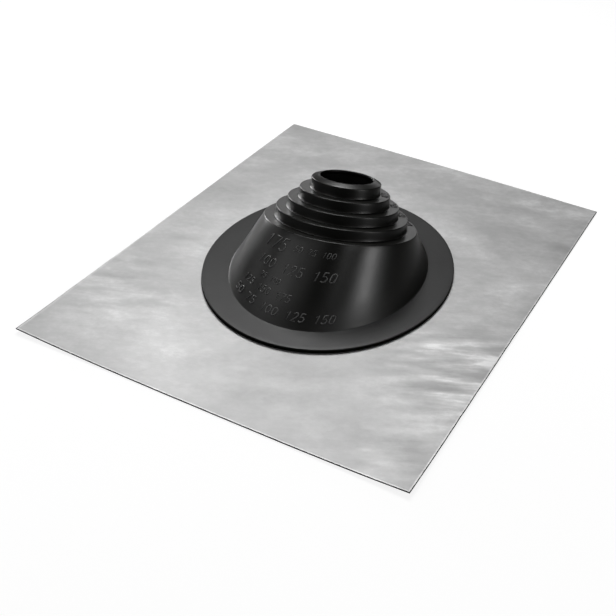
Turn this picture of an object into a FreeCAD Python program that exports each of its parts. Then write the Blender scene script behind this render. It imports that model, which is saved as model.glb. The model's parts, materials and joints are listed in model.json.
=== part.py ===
import FreeCAD, Part
import Sketcher
import os
from FreeCAD import Vector

# Pipe flashing boot: a leaning stepped rubber boot bonded over an oval hole in an aluminium sheet.
# Frame: millimetres, +Z up, +Y along the sheet's long side, origin at the centre of its underside.

DIMENSIONS = [
    # alias, value, meaning
    ("sheet_width", 450.0, "sheet, short side, along X"),
    ("sheet_length", 600.0, "sheet, long side, along Y"),
    ("sheet_thickness", 1.0, "sheet gauge"),
    ("boot_offset_x", -5.5, "flange centre from the sheet centre, along X"),
    ("boot_offset_y", -10.5, "flange centre from the sheet centre, along Y"),
    ("foot_half_width", 109.0, "oval where the skirt meets the flange, half size along X"),
    ("foot_half_length", 137.5, "oval where the skirt meets the flange, half size along Y"),
    ("flange_margin", 31.0, "flange width outside the skirt, the same all round"),
    ("flange_thickness", 4.75, "rubber flange above the sheet"),
    ("wall", 3.0, "rubber wall of the skirt and the steps"),
    ("foot_inset_side", 3.5, "inner oval from the skirt's foot, at the sides and the back"),
    ("foot_inset_front", 6.5, "inner oval from the skirt's foot, at the shallow front"),
    ("shoulder_x", 4.3, "centre of the shoulder from the flange centre, along X"),
    ("shoulder_y", 9.3, "centre of the shoulder from the flange centre, along Y"),
    ("shoulder_height", 61.1, "centre of the shoulder above the flange's underside"),
    ("lean_deg", 15.2, "lean of the pipe axis from upright"),
    ("lean_turn_deg", 14.7, "direction of the lean, turned from +Y towards -X"),
    ("shoulder_radius", 87.4, "outer radius of the shoulder"),
    ("tread", 12.0, "radial width of one step"),
    ("rise", 12.1, "height of one step along the pipe axis"),
    ("opening_radius", 30.2, "opening for the smallest pipe"),
    ("rim_rise", 3.6, "the sloped rim climbs this much from its outer edge to the opening"),
    ("lip_chamfer", 1.1, "bevel on the outer edge of the shoulder and of each step"),
    ("hole_setback", 3.0, "hole in the sheet outside the inner foot of the skirt"),
]
STEP_COUNT = 4

doc = FreeCAD.newDocument("pipe_flashing_boot")
sheet = doc.addObject("Spreadsheet::Sheet", "dimensions")
for row, (alias, value, meaning) in enumerate(DIMENSIONS, start=1):
    sheet.set("A%d" % row, meaning)
    sheet.set("B%d" % row, str(value))
    sheet.setAlias("B%d" % row, alias)
doc.recompute()


def size(alias):
    return float(sheet.get(alias))


def bound(text):
    """Point each name in an expression at the spreadsheet: '@wall' becomes 'dimensions.wall'."""
    return text.replace("@", "dimensions.")


# ---------------------------------------------------------------- sketches

def new_body(name):
    body = doc.addObject("PartDesign::Body", name)
    body.Label = name
    return body


def sketch_on(body, name, role, offset=None):
    plane = [item for item in body.Origin.OriginFeatures if item.Role == role][0]
    sketch = body.newObject("Sketcher::SketchObject", name)
    sketch.AttachmentSupport = [(plane, "")]
    sketch.MapMode = "FlatFace"
    if offset:
        sketch.setExpression("AttachmentOffset", bound(offset))
    return sketch


def drive(sketch, constraint, expression):
    """Add one constraint and tie its value to the spreadsheet."""
    index = sketch.addConstraint(constraint)
    sketch.setExpression("Constraints[%d]" % index, bound(expression))


def oval(sketch, half_length, half_width, forward="0 mm"):
    """Ellipse with its long axis along the sketch's X, its centre moved forward along X."""
    curve = Part.Ellipse(Vector(0, 0, 0), 20.0, 10.0)
    outline = sketch.addGeometry(curve, False)
    sketch.exposeInternalGeometry(outline)
    long_axis = outline + 1
    short_axis = outline + 2
    sketch.addConstraint(Sketcher.Constraint("Parallel", long_axis, -1))
    sketch.addConstraint(Sketcher.Constraint("PointOnObject", outline, 3, -1))
    drive(sketch, Sketcher.Constraint("DistanceX", -1, 1, outline, 3, 0.0), forward)
    drive(sketch, Sketcher.Constraint("Distance", long_axis, 40.0), "2 * (%s)" % half_length)
    drive(sketch, Sketcher.Constraint("Distance", short_axis, 20.0), "2 * (%s)" % half_width)


def circle(sketch, radius):
    outline = sketch.addGeometry(Part.Circle(Vector(0, 0, 0), Vector(0, 0, 1), 20.0), False)
    sketch.addConstraint(Sketcher.Constraint("Coincident", outline, 3, -1, 1))
    drive(sketch, Sketcher.Constraint("Radius", outline, 20.0), radius)


def recompute():
    """Recompute, and stop at the first object that failed without raising."""
    doc.recompute()
    for item in doc.Objects:
        if "Invalid" in item.State or "Error" in item.State:
            raise RuntimeError("%s failed: %s" % (item.Name, item.State))


# ---------------------------------------------------------------- frames

TURN = "@lean_turn_deg * 1 deg"
# The leaning frame: origin at the shoulder's centre, Z along the pipe axis.
LEANING = (
    "placement(vector(@shoulder_x; @shoulder_y; @shoulder_height);"
    " rotation(vector(-cos(" + TURN + "); -sin(" + TURN + "); 0); @lean_deg))"
)
# The same frame for a sketch on XZ_Plane, whose own axes are X, Z and -Y.
LEANING_SECTION = (
    "placement(vector(@shoulder_x; @shoulder_height; -@shoulder_y);"
    " rotation(vector(-cos(" + TURN + "); 0; sin(" + TURN + ")); @lean_deg))"
)
# Raises a sketch and turns its X axis to +Y, so that both outlines of a loft start on the same side.
RAISED = "placement(vector(0; 0; %s); rotation(vector(0; 0; 1); 90))"
# The same about the centre of the flange, in the sheet's frame.
BOOT_CENTRE = "placement(vector(@boot_offset_x; @boot_offset_y; 0); rotation(vector(0; 0; 1); 90))"

# The oval inside the foot of the skirt, which the hole in the sheet follows.
INNER_HALF_LENGTH = "@foot_half_length - (@foot_inset_front + @foot_inset_side) / 2"
INNER_HALF_WIDTH = "@foot_half_width - @foot_inset_side"
INNER_SHIFT = "(@foot_inset_front - @foot_inset_side) / 2"


# ---------------------------------------------------------------- aluminium sheet

def build_sheet():
    body = new_body("flashing_sheet")
    outline = sketch_on(body, "sheet_outline", "XY_Plane")
    corners = [Vector(-1, -1, 0), Vector(1, -1, 0), Vector(1, 1, 0), Vector(-1, 1, 0)]
    sides = []
    for index, corner in enumerate(corners):
        following = corners[(index + 1) % 4]
        line = Part.LineSegment(corner * 50, following * 50)
        sides.append(outline.addGeometry(line, False))
    for index, side in enumerate(sides):
        following = sides[(index + 1) % 4]
        outline.addConstraint(Sketcher.Constraint("Coincident", side, 2, following, 1))
        direction = "Horizontal" if index % 2 == 0 else "Vertical"
        outline.addConstraint(Sketcher.Constraint(direction, side))
    outline.addConstraint(Sketcher.Constraint("Symmetric", sides[0], 1, sides[2], 1, -1, 1))
    drive(outline, Sketcher.Constraint("DistanceX", sides[0], 1, sides[0], 2, 100.0), "@sheet_width")
    drive(outline, Sketcher.Constraint("DistanceY", sides[1], 1, sides[1], 2, 100.0), "@sheet_length")
    pad = body.newObject("PartDesign::Pad", "sheet_plate")
    pad.Profile = outline
    pad.setExpression("Length", bound("@sheet_thickness"))
    recompute()

    hole = sketch_on(body, "hole_outline", "XY_Plane", BOOT_CENTRE)
    oval(hole, INNER_HALF_LENGTH + " + @hole_setback", INNER_HALF_WIDTH + " + @hole_setback", INNER_SHIFT)
    pocket = body.newObject("PartDesign::Pocket", "boot_hole")
    pocket.Profile = hole
    pocket.Type = "ThroughAll"
    pocket.Midplane = True
    recompute()
    return body


# ---------------------------------------------------------------- rubber boot

def stair_corners(inset=None):
    """Corners of the stepped cone's half section, each face moved inwards by the inset.

    A corner is its first guess and the two expressions that then hold it. The section is
    drawn with the pipe axis as Y. The outside has its lips bevelled, and starts with the
    shoulder's. The inside goes on above the rim, so that it opens it.
    """
    offset = size(inset) if inset else 0.0
    less = " - @%s" % inset if inset else ""
    bevel = size("lip_chamfer")
    axis = (0.0, "0 mm")
    level = (-offset, less or "0 mm")
    corners = [(axis, level)]
    if not inset:
        below = (-bevel, "-@lip_chamfer")
        edge = (size("shoulder_radius"), "@shoulder_radius")
        lip = (edge[0] - bevel, edge[1] + " - @lip_chamfer")
        corners = [(axis, below), (edge, below), (lip, level)]

    for step in range(1, STEP_COUNT + 1):
        across = (
            size("shoulder_radius") - step * size("tread") - offset,
            "@shoulder_radius - %d * @tread%s" % (step, less),
        )
        corners.append((across, level))
        level = (step * size("rise") - offset, "%d * @rise%s" % (step, less))
        if inset or step == STEP_COUNT:
            corners.append((across, level))
        else:
            corners.append((across, (level[0] - bevel, level[1] + " - @lip_chamfer")))
            corners.append(((across[0] - bevel, across[1] + " - @lip_chamfer"), level))

    mouth = (size("opening_radius"), "@opening_radius")
    top = (level[0] + size("rim_rise"), level[1] + " + @rim_rise")
    corners.append((mouth, top))
    if inset:
        top = (top[0] + 2 * offset, top[1] + " + 2 * @%s" % inset)
        corners.append((mouth, top))
    corners.append((axis, top))
    return corners


def draw_section(sketch, corners):
    """Closed outline through the corners, each line level, upright or set by its two ends."""
    count = len(corners)
    points = [Vector(across[0], up[0], 0) for across, up in corners]
    for index, point in enumerate(points):
        sketch.addGeometry(Part.LineSegment(point, points[(index + 1) % count]), False)
    for index, (across, up) in enumerate(corners):
        following_across, following_up = corners[(index + 1) % count]
        sketch.addConstraint(Sketcher.Constraint("Coincident", index, 2, (index + 1) % count, 1))
        if following_up == up:
            sketch.addConstraint(Sketcher.Constraint("Horizontal", index))
        else:
            drive(sketch, Sketcher.Constraint("DistanceY", -1, 1, index, 1, up[0]), up[1])
        if following_across == across:
            sketch.addConstraint(Sketcher.Constraint("Vertical", index))
        else:
            drive(sketch, Sketcher.Constraint("DistanceX", -1, 1, index, 1, across[0]), across[1])


def turned_section(body, kind, name, inset=None):
    """Turn the stepped section round the pipe axis, as a solid or as a cut."""
    section = sketch_on(body, name + "_section", "XZ_Plane", LEANING_SECTION)
    draw_section(section, stair_corners(inset))
    turned = body.newObject(kind, name)
    turned.Profile = section
    turned.ReferenceAxis = (section, ["V_Axis"])
    turned.Angle = 360
    recompute()


def loft(body, kind, name, foot, shoulder):
    lofted = body.newObject(kind, name)
    lofted.Profile = foot
    lofted.Sections = [shoulder]
    lofted.Ruled = True
    recompute()


def build_boot():
    body = new_body("rubber_boot")
    body.setExpression("Placement.Base.x", bound("@boot_offset_x"))
    body.setExpression("Placement.Base.y", bound("@boot_offset_y"))
    body.setExpression("Placement.Base.z", bound("@sheet_thickness"))

    flange_outline = sketch_on(body, "flange_outline", "XY_Plane", RAISED % "0")
    oval(flange_outline, "@foot_half_length + @flange_margin", "@foot_half_width + @flange_margin")
    oval(flange_outline, INNER_HALF_LENGTH, INNER_HALF_WIDTH, INNER_SHIFT)
    flange = body.newObject("PartDesign::Pad", "flange")
    flange.Profile = flange_outline
    flange.setExpression("Length", bound("@flange_thickness"))
    recompute()

    foot = sketch_on(body, "skirt_foot", "XY_Plane", RAISED % "@flange_thickness")
    oval(foot, "@foot_half_length", "@foot_half_width")
    shoulder = sketch_on(body, "shoulder_outline", "XY_Plane", LEANING + " * " + RAISED % "-@lip_chamfer")
    circle(shoulder, "@shoulder_radius")
    loft(body, "PartDesign::AdditiveLoft", "skirt", foot, shoulder)
    turned_section(body, "PartDesign::Revolution", "steps")

    inner_foot = sketch_on(body, "inner_foot", "XY_Plane", RAISED % "@flange_thickness")
    oval(inner_foot, INNER_HALF_LENGTH, INNER_HALF_WIDTH, INNER_SHIFT)
    inner_shoulder = sketch_on(body, "inner_shoulder", "XY_Plane", LEANING + " * " + RAISED % "-@wall")
    circle(inner_shoulder, "@shoulder_radius - @wall")
    loft(body, "PartDesign::SubtractiveLoft", "skirt_hollow", inner_foot, inner_shoulder)
    turned_section(body, "PartDesign::Groove", "steps_hollow", "wall")
    return body


# ---------------------------------------------------------------- checks and files

bodies = [build_sheet(), build_boot()]
for body in bodies:
    shape = body.Shape
    if shape.isNull() or not shape.isValid() or len(shape.Solids) != 1:
        raise RuntimeError("%s isn't one valid solid" % body.Label)

os.makedirs("parts", exist_ok=True)
for body in bodies:
    body.Shape.exportStep("parts/%s.step" % body.Label)
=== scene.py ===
import bpy
import functools
import json
import math
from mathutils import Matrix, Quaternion, Vector, noise


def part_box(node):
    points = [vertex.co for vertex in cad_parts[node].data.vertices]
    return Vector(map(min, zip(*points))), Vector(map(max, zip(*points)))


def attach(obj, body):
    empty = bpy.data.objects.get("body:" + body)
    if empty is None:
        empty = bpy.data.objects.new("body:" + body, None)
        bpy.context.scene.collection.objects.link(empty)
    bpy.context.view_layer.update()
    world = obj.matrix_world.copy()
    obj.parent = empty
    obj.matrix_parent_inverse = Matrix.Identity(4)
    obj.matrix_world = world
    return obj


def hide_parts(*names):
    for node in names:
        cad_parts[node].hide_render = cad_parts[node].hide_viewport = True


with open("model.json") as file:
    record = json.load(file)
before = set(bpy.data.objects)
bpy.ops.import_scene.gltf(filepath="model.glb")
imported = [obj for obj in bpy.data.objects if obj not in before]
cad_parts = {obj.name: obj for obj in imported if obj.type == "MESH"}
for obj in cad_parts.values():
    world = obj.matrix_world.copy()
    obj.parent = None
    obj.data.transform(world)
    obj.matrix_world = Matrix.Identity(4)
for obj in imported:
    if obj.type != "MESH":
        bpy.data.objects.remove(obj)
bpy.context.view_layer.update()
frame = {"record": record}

# ---------------------------------------------------------------- sizes, in metres

MM = 0.001
sheet_low, sheet_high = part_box("flashing_sheet")
boot_low, boot_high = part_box("rubber_boot")
opening = [mount for mount in frame["record"]["mounts"] if mount["name"] == "pipe_opening"][0]

# The oval flange: its half lengths, and its margin outside the skirt's foot.
FLANGE_X = (boot_high[0] - boot_low[0]) / 2
FLANGE_Y = (boot_high[1] - boot_low[1]) / 2
FLANGE_CENTRE = Vector((
    (boot_low[0] + boot_high[0]) / 2,
    (boot_low[1] + boot_high[1]) / 2,
    boot_low[2],
))
FLANGE_MARGIN = 31.0 * MM
FLANGE_THICKNESS = 4.75 * MM

# The wall, and how far inside the skirt's foot its inner face comes down:
# at the sides and the back, and at the front.
WALL = 3.0 * MM
INSET_SIDE = 3.5 * MM
INSET_FRONT = 6.5 * MM

# The leaning part: the shoulder's circle, equal steps, and a rim that slopes in to the opening.
SHOULDER_RADIUS = 87.4 * MM
TREAD = 12.0 * MM
RISE = 12.1 * MM
STEPS = 4
RIM_RISE = 3.6 * MM
OPENING_RADIUS = opening["dims"]["r_mm"] * MM
PIPE_AXIS = Vector(opening["axis"]).normalized()
OPENING_HEIGHT = STEPS * RISE + RIM_RISE - WALL / 2
SHOULDER = Vector(opening["pos_m"]) - PIPE_AXIS * OPENING_HEIGHT
LEAN = Vector((0, 0, 1)).rotation_difference(PIPE_AXIS)

BASE_ROUND = 0.3 * MM
FLANGE_ROUND = 0.6 * MM
FOOT_ROUND = 1.3 * MM
LIP_ROUND = 1.0 * MM
ROOT_ROUND = 1.3 * MM
MOUTH_ROUND = 1.1 * MM
BORE_ROUND = 0.8 * MM
HOLE_ROUND = 1.0 * MM

# The boot's mesh: points round it, steps in each rounding, and pieces of each run of its section.
AROUND = 288
ARC_STEPS = 5
LONGEST_ROUNDING = 0.45
EDGE_PIECES = 2
FLANGE_PIECES = 6
SKIRT_PIECES = 14
STEP_PIECES = 4
MOUTH_PIECES = 1
INNER_STEP_PIECES = 3
INNER_SKIRT_PIECES = 10
HOLE_PIECES = 2
UNDERSIDE_PIECES = 8

# The sheet: its half lengths, its mesh, and how far its hole stands outside the boot's own.
SHEET_X = (sheet_high[0] - sheet_low[0]) / 2
SHEET_Y = (sheet_high[1] - sheet_low[1]) / 2
SHEET_THICKNESS = sheet_high[2] - sheet_low[2]
SHEET_RINGS = 56
SHEET_SIDE = 130
SPLIT_ANGLE = math.radians(40)
HOLE_SETBACK = 3.0 * MM

# Its form. It comes free of the boot over a band given in shares of the flange's half lengths.
CORNER_TRIM = Vector((6.0, -9.0, 0)) * MM
CORNER_LIFT = 4.0 * MM
FREE_BAND = (1.0, 1.35)

# Noise on the sheet: height, then how often it turns per metre in x and y, and its seed.
WAVES = (0.5 * MM, 9, 7, 3.1)
RIPPLES = (0.14 * MM, 31, 24, 8.7)
FOLDS = (MM, 8, 52, 5.3)
CREASE_WAY = math.radians(26)

# Creased areas: height in mm, and where they fade in along x, and in from both ends of y.
CREASED_AREAS = (
    (1.1, (0.11, 0.2), (-0.26, -0.17), (0.06, -0.02)),
    (0.45, (-0.13, -0.19), (-0.28, -0.2), (0.05, -0.05)),
)


# ---------------------------------------------------------------- mesh helpers

def mesh_piece(name, points, faces, material):
    mesh = bpy.data.meshes.new(name)
    mesh.from_pydata([tuple(point) for point in points], [], faces)
    mesh.validate()
    mesh.update()
    mesh.polygons.foreach_set("use_smooth", [True] * len(mesh.polygons))
    piece = bpy.data.objects.new(name, mesh)
    bpy.context.collection.objects.link(piece)
    piece.data.materials.append(material)
    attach(piece, "root")
    return piece


def closed_rows(rows, around):
    """Quads between loops of points, row after row, and from the last row back to the first."""
    faces = []
    for row in range(rows):
        following = (row + 1) % rows
        for index in range(around):
            beside = (index + 1) % around
            faces.append((
                row * around + index,
                row * around + beside,
                following * around + beside,
                following * around + index,
            ))
    return faces


def add_to(points, faces, more_points, more_faces):
    """Puts more points and faces after those that are there."""
    faces.extend([tuple(corner + len(points) for corner in face) for face in more_faces])
    points.extend(more_points)


def rounded_path(corners):
    """Points along a closed run of corners, each given as point, radius and pieces of the run after it."""
    count = len(corners)
    arcs = []
    for index, (point, radius, _) in enumerate(corners):
        back = corners[index - 1][0] - point
        ahead = corners[(index + 1) % count][0] - point
        half_angle = back.angle(ahead) / 2
        wanted = radius / math.tan(half_angle)
        reach = min(wanted, LONGEST_ROUNDING * back.length, LONGEST_ROUNDING * ahead.length)
        start = point + back.normalized() * reach
        end = point + ahead.normalized() * reach
        weight = math.sin(half_angle)
        arc = []
        for step in range(ARC_STEPS + 1):
            t = step / ARC_STEPS
            a, b, c = (1 - t) ** 2, 2 * weight * t * (1 - t), t ** 2
            arc.append((start * a + point * b + end * c) / (a + b + c))
        arcs.append(arc)
    path = []
    for index, arc in enumerate(arcs):
        path.extend(arc)
        following = arcs[(index + 1) % count][0]
        pieces = corners[index][2]
        for step in range(1, pieces):
            path.append(arc[-1].lerp(following, step / pieces))
    return path


# ---------------------------------------------------------------- the boot's surfaces

def flange_point(angle, inset_x, inset_y, height, shift=0.0):
    across = (FLANGE_X - inset_x) * math.cos(angle)
    along = (FLANGE_Y - inset_y) * math.sin(angle) + shift
    return FLANGE_CENTRE + Vector((across, along, height))


def leaning_point(angle, radius, height):
    flat = Vector((radius * math.cos(angle), radius * math.sin(angle), height))
    return SHOULDER + LEAN @ flat


def foot_point(angle):
    return flange_point(angle, FLANGE_MARGIN, FLANGE_MARGIN, FLANGE_THICKNESS)


def inner_foot_point(angle, height):
    inset_x = FLANGE_MARGIN + INSET_SIDE
    inset_y = FLANGE_MARGIN + (INSET_FRONT + INSET_SIDE) / 2
    return flange_point(angle, inset_x, inset_y, height, (INSET_FRONT - INSET_SIDE) / 2)


def skirt_point(angle, climb):
    """On the skirt's outside; climb is 0 at the foot and 1 at the shoulder."""
    return foot_point(angle).lerp(leaning_point(angle, SHOULDER_RADIUS, 0), climb)


def outside_corners(angle):
    """Up the outside, from the flange's lower edge to the rim."""
    corners = [
        (flange_point(angle, 0, 0, 0), BASE_ROUND, EDGE_PIECES),
        (flange_point(angle, 0, 0, FLANGE_THICKNESS), FLANGE_ROUND, FLANGE_PIECES),
        (foot_point(angle), FOOT_ROUND, SKIRT_PIECES),
        (leaning_point(angle, SHOULDER_RADIUS, 0), LIP_ROUND, STEP_PIECES),
    ]
    for step in range(1, STEPS + 1):
        radius = SHOULDER_RADIUS - step * TREAD
        corners.append((leaning_point(angle, radius, (step - 1) * RISE), ROOT_ROUND, STEP_PIECES))
        corners.append((leaning_point(angle, radius, step * RISE), LIP_ROUND, STEP_PIECES))
    return corners


def inside_corners(angle):
    """Down the inside, from the opening to the flange's underside."""
    mouth = STEPS * RISE + RIM_RISE
    corners = [
        (leaning_point(angle, OPENING_RADIUS, mouth), MOUTH_ROUND, MOUTH_PIECES),
        (leaning_point(angle, OPENING_RADIUS, mouth - WALL), BORE_ROUND, INNER_STEP_PIECES),
    ]
    for step in range(STEPS, 0, -1):
        radius = SHOULDER_RADIUS - step * TREAD - WALL
        upper, lower = step * RISE - WALL, (step - 1) * RISE - WALL
        corners.append((leaning_point(angle, radius, upper), ROOT_ROUND, INNER_STEP_PIECES))
        corners.append((leaning_point(angle, radius, lower), LIP_ROUND, INNER_STEP_PIECES))
    shoulder = leaning_point(angle, SHOULDER_RADIUS - WALL, -WALL)
    corners.append((shoulder, ROOT_ROUND, INNER_SKIRT_PIECES))
    corners.append((inner_foot_point(angle, FLANGE_THICKNESS), HOLE_ROUND, HOLE_PIECES))
    corners.append((inner_foot_point(angle, 0), BASE_ROUND, UNDERSIDE_PIECES))
    return corners


def boot_surface():
    """Points and faces of the whole moulding, without its numerals."""
    angles = [2 * math.pi * index / AROUND for index in range(AROUND)]
    sections = [rounded_path(outside_corners(angle) + inside_corners(angle)) for angle in angles]
    rows = len(sections[0])
    points = [section[row] for row in range(rows) for section in sections]
    return points, closed_rows(rows, AROUND)


# ---------------------------------------------------------------- moulded numerals

# Strokes of each digit, in shares of its height.
DIGITS = {
    "0": [
        (0.3, 1), (0.08, 0.85), (0.03, 0.5), (0.08, 0.15), (0.3, 0),
        (0.52, 0.15), (0.57, 0.5), (0.52, 0.85), (0.3, 1),
    ],
    "1": [(0.12, 0.76), (0.36, 1), (0.36, 0)],
    "2": [(0.05, 0.8), (0.2, 1), (0.44, 1), (0.56, 0.78), (0.45, 0.5), (0.04, 0), (0.58, 0)],
    "5": [
        (0.54, 1), (0.12, 1), (0.08, 0.55), (0.36, 0.62),
        (0.56, 0.42), (0.5, 0.1), (0.25, 0), (0.04, 0.12),
    ],
    "7": [(0.03, 1), (0.58, 1), (0.22, 0)],
}
DIGIT_PITCH = 0.82
SLANT = 0.2

# A stroke is a rib with four points across: foot, crown, crown, foot. The crown is a share of its width.
RIB_POINTS = 4
RIB_FOOT = -0.1 * MM
RIB_CROWN = 0.25

# Small step in angle, in radians, and in climb that gives the skirt's directions.
PROBE = 0.01

# Rows on the skirt: text, digit height and stroke width in mm, middle angle in degrees, climb.
SKIRT_NUMBERS = (
    ("175", 14.0, 1.9, -111, 0.84),
    ("50 75 100", 6.5, 1.2, -80, 0.85),
    ("100 125 150", 11.0, 1.7, -90, 0.61),
    ("75 100", 6.0, 1.1, -103, 0.45),
    ("125 150 175", 8.0, 1.4, -104, 0.31),
    ("50 75 100 125 150", 9.5, 1.7, -91, 0.14),
)
SKIRT_RELIEF = 0.85 * MM

# One number on each tread, from the shoulder up; each sits a little further round than the last.
TREAD_NUMBERS = ("175", "150", "125", "100")
TREAD_DIGIT = 7.5 * MM
TREAD_STROKE = 1.4 * MM
TREAD_RELIEF = 0.8 * MM
TREAD_ANGLE = 48
TREAD_TURN = 6


def skirt_place(middle, climb, u, v):
    """Point and outward way on the skirt, u to the right and v up from a middle angle and climb."""
    here = skirt_point(middle, climb)
    sideways = (skirt_point(middle + PROBE, climb) - here).length / PROBE
    slope = (skirt_point(middle, 1) - skirt_point(middle, 0)).length
    angle, level = middle + u / sideways, climb + v / slope
    point = skirt_point(angle, level)
    right = skirt_point(angle + PROBE, level) - point
    up = skirt_point(angle, level + PROBE) - point
    return point, right.cross(up).normalized()


def tread_place(middle, step, u, v):
    """The same on the tread in front of a step, v towards the pipe."""
    radius = SHOULDER_RADIUS - (step - 0.5) * TREAD
    return leaning_point(middle + u / radius, radius - v, (step - 1) * RISE), PIPE_AXIS


def rib(path, width, height, place):
    """Points and faces of a closed raised bar along a path, its foot sunk into the surface."""
    profile = ((-1, RIB_FOOT), (-RIB_CROWN, height), (RIB_CROWN, height), (1, RIB_FOOT))
    points, faces = [], []
    for index, (u, v) in enumerate(path):
        before = Vector(path[max(index - 1, 0)])
        after = Vector(path[min(index + 1, len(path) - 1)])
        way = (after - before).normalized()
        side = Vector((-way.y, way.x)) * width / 2
        for share, rise in profile:
            point, out = place(u + side.x * share, v + side.y * share)
            points.append(point + out * rise)
    for index in range(len(path) - 1):
        for edge in range(RIB_POINTS):
            first = index * RIB_POINTS + edge
            beside = index * RIB_POINTS + (edge + 1) % RIB_POINTS
            faces.append((first, first + RIB_POINTS, beside + RIB_POINTS, beside))
    last = len(points) - 1
    faces.append(tuple(range(RIB_POINTS)))
    faces.append(tuple(range(last, last - RIB_POINTS, -1)))
    return points, faces


def number(text, size, width, height, place):
    """Raised digits of one number or row of numbers, centred on the place."""
    points, faces = [], []
    start = -len(text) * DIGIT_PITCH * size / 2
    for index, sign in enumerate(text):
        if sign == " ":
            continue
        left = start + index * DIGIT_PITCH * size
        path = [(left + (x + SLANT * y) * size, (y - 0.5) * size) for x, y in DIGITS[sign]]
        add_to(points, faces, *rib(path, width, height, place))
    return points, faces


def moulded_numbers():
    """Plain pipe diameters, in rows on the front of the skirt and one on each tread."""
    made = []
    for text, size, width, middle, climb in SKIRT_NUMBERS:
        place = functools.partial(skirt_place, math.radians(middle), climb)
        made.append(number(text, size * MM, width * MM, SKIRT_RELIEF, place))
    for step, text in enumerate(TREAD_NUMBERS, start=1):
        place = functools.partial(tread_place, math.radians(TREAD_ANGLE - TREAD_TURN * step), step)
        made.append(number(text, TREAD_DIGIT, TREAD_STROKE, TREAD_RELIEF, place))
    return made


def build_boot(material):
    """The rubber boot. Its attribute raised is 1 on the numerals and 0 elsewhere."""
    points, faces = boot_surface()
    plain = len(points)
    for more_points, more_faces in moulded_numbers():
        add_to(points, faces, more_points, more_faces)
    piece = mesh_piece("boot_rubber", points, faces, material)
    raised = piece.data.attributes.new("raised", "FLOAT", "POINT")
    marks = [float(index >= plain) for index in range(len(piece.data.vertices))]
    raised.data.foreach_set("value", marks)
    # The sunk undersides of the ribs are flat, so that they don't bend the shading of their sides.
    feet = (0, RIB_POINTS - 1)
    for face in piece.data.polygons:
        if all(corner >= plain and (corner - plain) % RIB_POINTS in feet for corner in face.vertices):
            face.use_smooth = False
    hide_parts("rubber_boot")


# ---------------------------------------------------------------- the aluminium sheet

def smooth(low, high, value):
    t = min(max((value - low) / (high - low), 0.0), 1.0)
    return t * t * (3 - 2 * t)


def swell(kind, x, y):
    """Smooth noise from 0 to twice its height."""
    height, x_rate, y_rate, seed = kind
    return height * (1 + noise.noise(Vector((x * x_rate, y * y_rate, seed))))


def trimmed(point):
    """The back left corner was cut a little short."""
    share = (1 - point.x / SHEET_X) / 2 * (1 + point.y / SHEET_Y) / 2
    return point + CORNER_TRIM * max(share, 0.0) ** 2


def creases(x, y):
    """Handling creases that run in from the right-hand edge, and fainter ones at the left."""
    along = x * math.cos(CREASE_WAY) + y * math.sin(CREASE_WAY)
    across = y * math.cos(CREASE_WAY) - x * math.sin(CREASE_WAY)
    strength = 0.0
    for height, side, front, back in CREASED_AREAS:
        strength += height * (smooth(*side, x) * smooth(*front, y) * smooth(*back, y))
    return strength * swell(FOLDS, along, across)


def sheet_height(x, y):
    """How far the soft sheet stands off its flat form: lifted front corners, waves and creases."""
    beyond = math.hypot((x - FLANGE_CENTRE.x) / FLANGE_X, (y - FLANGE_CENTRE.y) / FLANGE_Y)
    free = smooth(*FREE_BAND, beyond)
    lift = CORNER_LIFT * max(-y / SHEET_Y, 0.0) ** 3 * (abs(x) / SHEET_X) ** 3
    return free * (lift + swell(WAVES, x, y) + swell(RIPPLES, x, y)) + creases(x, y)


def sheet_outline():
    """Points round the sheet's edge, from its front right corner."""
    corners = [(SHEET_X, -SHEET_Y), (SHEET_X, SHEET_Y), (-SHEET_X, SHEET_Y), (-SHEET_X, -SHEET_Y)]
    outline = []
    for index, (x, y) in enumerate(corners):
        next_x, next_y = corners[(index + 1) % 4]
        for step in range(SHEET_SIDE):
            t = step / SHEET_SIDE
            outline.append(Vector((x + (next_x - x) * t, y + (next_y - y) * t, 0)))
    return outline


def hole_point(edge):
    """The point of the oval hole that faces a point of the sheet's edge."""
    way = edge - FLANGE_CENTRE
    angle = math.atan2(way.y / FLANGE_Y, way.x / FLANGE_X)
    point = inner_foot_point(angle, 0)
    out = Vector((point.x - FLANGE_CENTRE.x, point.y - FLANGE_CENTRE.y, 0)).normalized()
    return Vector((point.x, point.y, 0)) + out * HOLE_SETBACK


def build_sheet(material):
    """The aluminium sheet: rings from the hole out over its top, and back in under it."""
    outline = sheet_outline()
    hole = [hole_point(edge) for edge in outline]
    outwards = range(SHEET_RINGS + 1)
    points = []
    for side, rings in ((1, outwards), (0, reversed(outwards))):
        for ring in rings:
            for inner, outer in zip(hole, outline):
                flat = inner.lerp(trimmed(outer), ring / SHEET_RINGS)
                height = sheet_height(flat.x, flat.y) + side * SHEET_THICKNESS
                points.append(Vector((flat.x, flat.y, height)))
    faces = closed_rows(2 * len(outwards), len(outline))
    piece = mesh_piece("sheet_metal", points, faces, material)
    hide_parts("flashing_sheet")
    split = piece.modifiers.new("edge", "EDGE_SPLIT")
    split.split_angle = SPLIT_ANGLE


# ---------------------------------------------------------------- material helpers

def node(tree, kind, **inputs):
    made = tree.nodes.new(kind)
    for name, value in inputs.items():
        made.inputs[name.replace("_", " ")].default_value = value
    return made


def principled(name):
    material = bpy.data.materials.new(name)
    material.use_nodes = True
    tree = material.node_tree
    return material, tree, tree.nodes["Principled BSDF"]


def arithmetic(tree, operation, first, second=0.0):
    """A Math node; each input is a socket or a number."""
    made = tree.nodes.new("ShaderNodeMath")
    made.operation = operation
    for socket, value in zip(made.inputs, (first, second)):
        if isinstance(value, (int, float)):
            socket.default_value = value
        else:
            tree.links.new(value, socket)
    return made.outputs[0]


def separate(tree, vector):
    made = tree.nodes.new("ShaderNodeSeparateXYZ")
    tree.links.new(vector, made.inputs[0])
    return made.outputs


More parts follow.
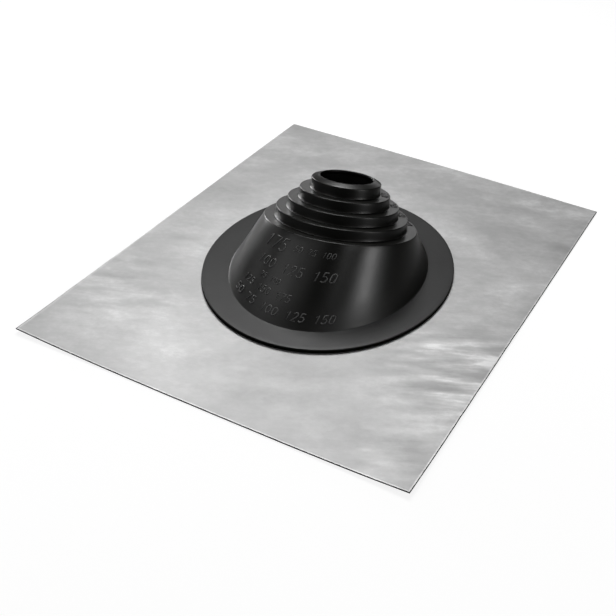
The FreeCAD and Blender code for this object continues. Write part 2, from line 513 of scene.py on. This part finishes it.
def ramp(tree, source, stops):
    """Greys or colours at positions from 0 to 1."""
    made = tree.nodes.new("ShaderNodeValToRGB")
    tree.links.new(source, made.inputs["Fac"])
    elements = made.color_ramp.elements
    while len(elements) < len(stops):
        elements.new(0.5)
    for element, (position, value) in zip(elements, stops):
        channels = value if isinstance(value, tuple) else (value, value, value)
        element.position = position
        element.color = (*channels, 1)
    return made.outputs["Color"]


def noise_at(tree, coordinates, scale, detail, roughness, stretch=(1, 1, 1)):
    mapping = tree.nodes.new("ShaderNodeMapping")
    mapping.inputs["Scale"].default_value = stretch
    tree.links.new(coordinates, mapping.inputs["Vector"])
    made = node(tree, "ShaderNodeTexNoise", Scale=scale, Detail=detail, Roughness=roughness)
    tree.links.new(mapping.outputs["Vector"], made.inputs["Vector"])
    return made.outputs["Fac"]


def blend(tree, share, first, second, target=None):
    """First where the share is 0, second where it is 1."""
    mix = tree.nodes.new("ShaderNodeMix")
    mix.data_type = "RGBA"
    for name, value in (("Factor", share), ("A", first), ("B", second)):
        socket = [one for one in mix.inputs if one.name == name and one.enabled][0]
        tree.links.new(value, socket)
    result = [one for one in mix.outputs if one.enabled][0]
    if target is not None:
        tree.links.new(result, target)
    return result


def add_bump(tree, shader, height, strength, distance):
    bump = node(tree, "ShaderNodeBump", Strength=strength, Distance=distance)
    tree.links.new(height, bump.inputs["Height"])
    tree.links.new(bump.outputs["Normal"], shader.inputs["Normal"])


# ---------------------------------------------------------------- rubber

# Noise, as scale, detail and roughness.
RUBBER_CLOUD = (14.0, 5.0, 0.6)
RUBBER_SHEEN = (22.0, 6.0, 0.6)
RUBBER_GRAIN = (900.0, 3.0, 0.6)
NUMERAL_HIGHLIGHT_NOISE = (60.0, 4.0, 0.6)
FLANGE_CLOUD = (26.0, 6.0, 0.7)
FLANGE_SHEEN = (40.0, 6.0, 0.7)

# What the noise is turned into, as positions and values.
SKIRT_TONES = ((0.3, (0.0025, 0.0026, 0.0018)), (0.75, (0.0042, 0.0043, 0.0031)))
# The numerals' lighter tones are a painted highlight on their strokes.
NUMERAL_HIGHLIGHT_TONES = ((0.3, 0.09), (0.7, 0.17))
FLANGE_TONES = ((0.3, 0.009), (0.8, 0.016))
SKIRT_ROUGHNESS = ((0.3, 0.3), (0.75, 0.36))
FLANGE_ROUGHNESS = ((0.3, 0.42), (0.75, 0.5))

# Bands of height over the flange's top, in mm: from where a share is 0 to where it is 1.
# Below this band the flange's outer edge gets no shine, a painted shade.
ABOVE_SHADED_EDGE = (-1.4, -0.5)
ON_FLANGE = (1.5, 0.2)
NEAR_FOOT = (28.0, 4.0)
FOOT_DULLING = 0.12
RUBBER_SHINE = 0.5
RUBBER_BUMP = (0.08, 0.4 * MM)


def height_share(tree, height, band):
    top = FLANGE_CENTRE.z + FLANGE_THICKNESS
    low, high = top + band[0] * MM, top + band[1] * MM
    made = node(tree, "ShaderNodeMapRange", From_Min=low, From_Max=high)
    tree.links.new(height, made.inputs["Value"])
    return made.outputs[0]


def rubber_material():
    """Satin black rubber: greyer and duller on the flange, duller at the foot; painted highlight on the
    numerals, and painted shade on the flange's outer edge, which has no shine.
    """
    material, tree, shader = principled("black_rubber")
    place = tree.nodes.new("ShaderNodeTexCoord").outputs["Object"]
    height = separate(tree, place)["Z"]
    above_shaded_edge = height_share(tree, height, ABOVE_SHADED_EDGE)
    flange = arithmetic(tree, "MULTIPLY", height_share(tree, height, ON_FLANGE), above_shaded_edge)
    foot = arithmetic(tree, "MULTIPLY", height_share(tree, height, NEAR_FOOT), FOOT_DULLING)
    raised = tree.nodes.new("ShaderNodeAttribute")
    raised.attribute_name = "raised"

    skirt_tone = ramp(tree, noise_at(tree, place, *RUBBER_CLOUD), SKIRT_TONES)
    # Painted highlight: the raised numerals get a much lighter tone than the skirt.
    numeral_highlight_tone = ramp(tree, noise_at(tree, place, *NUMERAL_HIGHLIGHT_NOISE), NUMERAL_HIGHLIGHT_TONES)
    flange_tone = ramp(tree, noise_at(tree, place, *FLANGE_CLOUD), FLANGE_TONES)
    moulding_tone = blend(tree, raised.outputs["Fac"], skirt_tone, numeral_highlight_tone)
    blend(tree, flange, moulding_tone, flange_tone, shader.inputs["Base Color"])

    skirt_rough = ramp(tree, noise_at(tree, place, *RUBBER_SHEEN), SKIRT_ROUGHNESS)
    skirt_rough = arithmetic(tree, "ADD", skirt_rough, foot)
    flange_rough = ramp(tree, noise_at(tree, place, *FLANGE_SHEEN), FLANGE_ROUGHNESS)
    blend(tree, flange, skirt_rough, flange_rough, shader.inputs["Roughness"])
    # Painted shade: below the flange's top, its outer edge gets no shine and reads dark.
    shine = arithmetic(tree, "MULTIPLY", above_shaded_edge, RUBBER_SHINE)
    tree.links.new(shine, shader.inputs["Specular IOR Level"])
    add_bump(tree, shader, noise_at(tree, place, *RUBBER_GRAIN), *RUBBER_BUMP)
    return material


# ---------------------------------------------------------------- aluminium

# Noise, as scale, detail, roughness and stretch, in the creases' direction.
CLOUD = (9.0, 6.0, 0.62, (0.8, 1, 1))
STREAK = (34.0, 5.0, 0.6, (0.4, 1, 1))
MOTTLE = (160.0, 5.0, 0.7, (0.7, 1, 1))
# This noise paints highlights and shade along the creases.
CREASE_SHADING_NOISE = (62.0, 3.0, 0.5, (0.24, 1, 1))
RELIEF = (55.0, 5.0, 0.6, (0.5, 1, 1))

CLOUD_SHARE = 0.48
STREAK_SHARE = 0.32
MOTTLE_SHARE = 0.2
# Painted light: the sheet's tone rises towards the back and towards the right.
PAINTED_LIGHT_BACKWARD_GAIN = 0.14
PAINTED_LIGHT_RIGHTWARD_GAIN = 0.06
RELIEF_MOTTLE = 0.35

# Soft round patches on the sheet: centre and radius in metres, and what they add in the middle. The crease
# patches carry painted highlights and shade along the creases; the others are painted light and shade.
CREASE_SHADING_PATCHES = (
    ((0.21, -0.11), 0.13, 1.7),
    ((-0.2, -0.18), 0.12, 0.6),
    ((0.2, -0.26), 0.08, 0.7),
)
# Painted light and shade: these patches lighten or darken the sheet where the lamps' reflection is
# brighter or darker.
LIGHT_AND_SHADE_PATCHES = (
    ((-0.11, -0.25), 0.15, 0.09),
    ((-0.19, -0.16), 0.18, 0.05),
    ((0.22, -0.1), 0.08, 0.03),
    ((0.08, -0.18), 0.09, -0.03),
    ((0.2, 0.03), 0.12, -0.04),
    ((0.12, -0.26), 0.1, -0.04),
)

SHEET_TONES = ((0.36, 0.4), (0.5, 0.49), (0.58, 0.57), (0.7, 0.76))
# Painted highlight along the sheet's top edge.
ARRIS_HIGHLIGHT_TONES = ((0.3, 0.62), (0.7, 0.85))
# Painted shade on the sheet's side faces and outermost strip.
CUT_EDGE_SHADE_TONES = ((0.3, 0.02), (0.7, 0.05))
SHEET_ROUGHNESS = ((0.3, 0.54), (0.7, 0.64))
SHEET_METALLIC = 0.95
SHEET_BUMP = (0.25, MM)

# The arris's painted highlight fades in over this band from the edge; the cut edge's painted shade is
# where the sheet is steeper or nearer than this.
ARRIS_HIGHLIGHT_BAND = (2.6 * MM, 1.0 * MM)
CUT_EDGE_SHADE_BAND = 0.8 * MM
CUT_EDGE_SHADE_STEEPNESS = 0.6


def patch_at(tree, coordinates, centre, radius, gain):
    away = tree.nodes.new("ShaderNodeVectorMath")
    away.operation = "DISTANCE"
    away.inputs[1].default_value = (*centre, 0)
    tree.links.new(coordinates, away.inputs[0])
    fall = node(tree, "ShaderNodeMapRange", From_Min=radius, From_Max=0.0, To_Min=0.0, To_Max=gain)
    fall.interpolation_type = "SMOOTHSTEP"
    tree.links.new(away.outputs["Value"], fall.inputs["Value"])
    return fall.outputs[0]


def crease_direction(tree, place):
    """Coordinates turned to run along the creases."""
    turned = tree.nodes.new("ShaderNodeMapping")
    turned.inputs["Rotation"].default_value = (0, 0, -CREASE_WAY)
    tree.links.new(place, turned.inputs["Vector"])
    return turned.outputs["Vector"]


def sheet_tone(tree, place, turned, streak, mottle):
    """Mill finish: clouds, streaks and mottle, with painted highlights and shade along the creases,
    painted light and shade in round patches, and painted light rising towards the back and the right.
    """
    cloud = noise_at(tree, turned, *CLOUD)
    total = arithmetic(tree, "MULTIPLY", cloud, CLOUD_SHARE)
    total = arithmetic(tree, "ADD", total, arithmetic(tree, "MULTIPLY", streak, STREAK_SHARE))
    total = arithmetic(tree, "ADD", total, arithmetic(tree, "MULTIPLY", mottle, MOTTLE_SHARE))
    # Painted highlights and shade along the creases, inside the crease patches.
    crease_shading = arithmetic(tree, "SUBTRACT", noise_at(tree, turned, *CREASE_SHADING_NOISE), 0.5)
    for patch in CREASE_SHADING_PATCHES:
        strength = arithmetic(tree, "MULTIPLY", crease_shading, patch_at(tree, place, *patch))
        total = arithmetic(tree, "ADD", total, strength)
    # Painted light and shade in round patches.
    for patch in LIGHT_AND_SHADE_PATCHES:
        total = arithmetic(tree, "ADD", total, patch_at(tree, place, *patch))
    # Painted light: tone rising towards the back and the right.
    position = separate(tree, place)
    for axis, gain in (("Y", PAINTED_LIGHT_BACKWARD_GAIN), ("X", PAINTED_LIGHT_RIGHTWARD_GAIN)):
        total = arithmetic(tree, "ADD", total, arithmetic(tree, "MULTIPLY", position[axis], gain))
    return ramp(tree, total, SHEET_TONES)


def distance_inside(tree, place):
    """Distance in from the nearest side of the sheet."""
    position = separate(tree, place)
    inside_x = arithmetic(tree, "SUBTRACT", SHEET_X, arithmetic(tree, "ABSOLUTE", position["X"]))
    inside_y = arithmetic(tree, "SUBTRACT", SHEET_Y, arithmetic(tree, "ABSOLUTE", position["Y"]))
    return arithmetic(tree, "MINIMUM", inside_x, inside_y)


def arris_highlight_share(tree, inside):
    start, full = ARRIS_HIGHLIGHT_BAND
    made = node(tree, "ShaderNodeMapRange", From_Min=start, From_Max=full)
    tree.links.new(inside, made.inputs["Value"])
    return made.outputs[0]


def cut_edge_shade_share(tree, inside):
    facing = separate(tree, tree.nodes.new("ShaderNodeNewGeometry").outputs["True Normal"])
    steep = arithmetic(tree, "LESS_THAN", arithmetic(tree, "ABSOLUTE", facing["Z"]), CUT_EDGE_SHADE_STEEPNESS)
    near = arithmetic(tree, "LESS_THAN", inside, CUT_EDGE_SHADE_BAND)
    return arithmetic(tree, "MAXIMUM", steep, near)


def aluminium_material():
    """Soft sheet with a mill finish, a painted highlight along the arris and painted shade on the cut
    edge.
    """
    material, tree, shader = principled("aluminium_sheet")
    place = tree.nodes.new("ShaderNodeTexCoord").outputs["Object"]
    turned = crease_direction(tree, place)
    streak = noise_at(tree, turned, *STREAK)
    mottle = noise_at(tree, turned, *MOTTLE)
    inside = distance_inside(tree, place)

    tone = sheet_tone(tree, place, turned, streak, mottle)
    # Painted highlight: a lighter band along the top edge of the sheet.
    tone = blend(tree, arris_highlight_share(tree, inside), tone, ramp(tree, mottle, ARRIS_HIGHLIGHT_TONES))
    # Painted shade: the cut edge and the strip beside it are made dark.
    cut = ramp(tree, mottle, CUT_EDGE_SHADE_TONES)
    blend(tree, cut_edge_shade_share(tree, inside), tone, cut, shader.inputs["Base Color"])

    shader.inputs["Metallic"].default_value = SHEET_METALLIC
    tree.links.new(ramp(tree, streak, SHEET_ROUGHNESS), shader.inputs["Roughness"])
    fine = arithmetic(tree, "MULTIPLY", mottle, RELIEF_MOTTLE)
    relief = arithmetic(tree, "ADD", noise_at(tree, turned, *RELIEF), fine)
    add_bump(tree, shader, relief, *SHEET_BUMP)
    return material


# ---------------------------------------------------------------- studio

WHITE = (1, 1, 1, 1)

# The floor looks white, but gives little light back to the rubber and the sheet.
FLOOR_REACH = 6.0
FLOOR_DROP = 0.2 * MM
FLOOR_GREY = (0.15, 0.15, 0.15, 1)
FLOOR_SHADOW_GREY = (0.25, 0.25, 0.25, 1)
FLOOR_GLOW = 0.85
WORLD_LIGHT = 0.02

# Name, azimuth and elevation in degrees, distance, width, height and power.
# Azimuth 0 is in front, 90 to the right.
LAMPS = (
    ("overhead", 205, 65, 2.4, 1.5, 1.1, 10.0),
    ("back_high", 213, 60, 1.4, 0.5, 0.5, 8.4),
    ("back_low", 199, 7, 2.4, 1.3, 0.3, 2.5),
    ("back_left", -119, 3, 2.2, 0.8, 0.42, 24.0),
    ("left", -76, 14, 2.2, 0.8, 0.42, 1.0),
    ("front_left", -42, 27, 1.4, 0.8, 0.5, 1.6),
    ("front", -15, 36, 1.2, 0.6, 0.6, 0.6),
    ("front_right", 50, 38, 1.6, 0.4, 0.4, 0.9),
    ("right_low", 90, 5, 1.6, 0.22, 0.22, 0.3),
    ("right", 79, 13, 1.6, 0.3, 0.3, 2.8),
    ("right_high", 74, 21, 1.6, 0.3, 0.3, 1.4),
)

CAMERA_TARGET = Vector((34.9, -144.6, 41.0)) * MM
CAMERA_AZIMUTH = math.radians(25.64)
CAMERA_ELEVATION = math.radians(35.66)
CAMERA_ROLL = math.radians(4.49)
CAMERA_DISTANCE = 1.1552
CAMERA_SENSOR = 36.0
CAMERA_LENS = 64.78


def direction(azimuth, elevation):
    return Vector((
        math.sin(azimuth) * math.cos(elevation),
        -math.cos(azimuth) * math.cos(elevation),
        math.sin(elevation),
    ))


def seen_and_unseen(tree, seen, unseen, target):
    """One shader where the camera looks straight at it, and another for all other light."""
    path = tree.nodes.new("ShaderNodeLightPath")
    mix = tree.nodes.new("ShaderNodeMixShader")
    tree.links.new(path.outputs["Is Camera Ray"], mix.inputs["Fac"])
    tree.links.new(unseen.outputs[0], mix.inputs[1])
    tree.links.new(seen.outputs[0], mix.inputs[2])
    tree.links.new(mix.outputs[0], target)


def floor_material():
    material = bpy.data.materials.new("floor")
    material.use_nodes = True
    tree = material.node_tree
    tree.nodes.clear()
    output = tree.nodes.new("ShaderNodeOutputMaterial")
    unseen = node(tree, "ShaderNodeBsdfDiffuse", Color=FLOOR_GREY)
    faint = node(tree, "ShaderNodeBsdfDiffuse", Color=FLOOR_SHADOW_GREY)
    glow = node(tree, "ShaderNodeEmission", Color=WHITE, Strength=FLOOR_GLOW)
    white = tree.nodes.new("ShaderNodeAddShader")
    tree.links.new(faint.outputs[0], white.inputs[0])
    tree.links.new(glow.outputs[0], white.inputs[1])
    seen_and_unseen(tree, white, unseen, output.inputs["Surface"])
    return material


def build_floor():
    mesh = bpy.data.meshes.new("floor")
    signs = ((-1, -1), (1, -1), (1, 1), (-1, 1))
    mesh.from_pydata([(x * FLOOR_REACH, y * FLOOR_REACH, 0) for x, y in signs], [], [(0, 1, 2, 3)])
    mesh.materials.append(floor_material())
    floor = bpy.data.objects.new("floor", mesh)
    floor.location.z = -FLOOR_DROP
    bpy.context.collection.objects.link(floor)


def build_world():
    world = bpy.data.worlds.new("studio")
    bpy.context.scene.world = world
    world.use_nodes = True
    tree = world.node_tree
    shade = tree.nodes["Background"]
    shade.inputs["Color"].default_value = WHITE
    shade.inputs["Strength"].default_value = WORLD_LIGHT
    white = node(tree, "ShaderNodeBackground", Color=WHITE, Strength=1.0)
    seen_and_unseen(tree, white, shade, tree.nodes["World Output"].inputs["Surface"])


def softbox(name, azimuth, elevation, distance, width, height, power):
    """Rectangular lamp aimed at the boot."""
    way = direction(math.radians(azimuth), math.radians(elevation))
    data = bpy.data.lights.new(name, "AREA")
    data.shape = "RECTANGLE"
    data.size, data.size_y = width, height
    data.energy = power
    lamp = bpy.data.objects.new(name, data)
    lamp.location = FLANGE_CENTRE + way * distance
    lamp.rotation_mode = "QUATERNION"
    lamp.rotation_quaternion = way.to_track_quat("Z", "Y")
    bpy.context.collection.objects.link(lamp)


def build_camera():
    way = direction(CAMERA_AZIMUTH, CAMERA_ELEVATION)
    data = bpy.data.cameras.new("camera")
    data.sensor_width = CAMERA_SENSOR
    data.lens = CAMERA_LENS
    camera = bpy.data.objects.new("camera", data)
    camera.location = CAMERA_TARGET + way * CAMERA_DISTANCE
    camera.rotation_mode = "QUATERNION"
    aim = (-way).to_track_quat("-Z", "Y")
    camera.rotation_quaternion = aim @ Quaternion((0, 0, 1), CAMERA_ROLL)
    bpy.context.collection.objects.link(camera)
    bpy.context.scene.camera = camera


# ---------------------------------------------------------------- build

build_sheet(aluminium_material())
build_boot(rubber_material())
build_floor()
build_world()
for lamp_settings in LAMPS:
    softbox(*lamp_settings)
build_camera()
bpy.context.scene.view_settings.view_transform = "Standard"
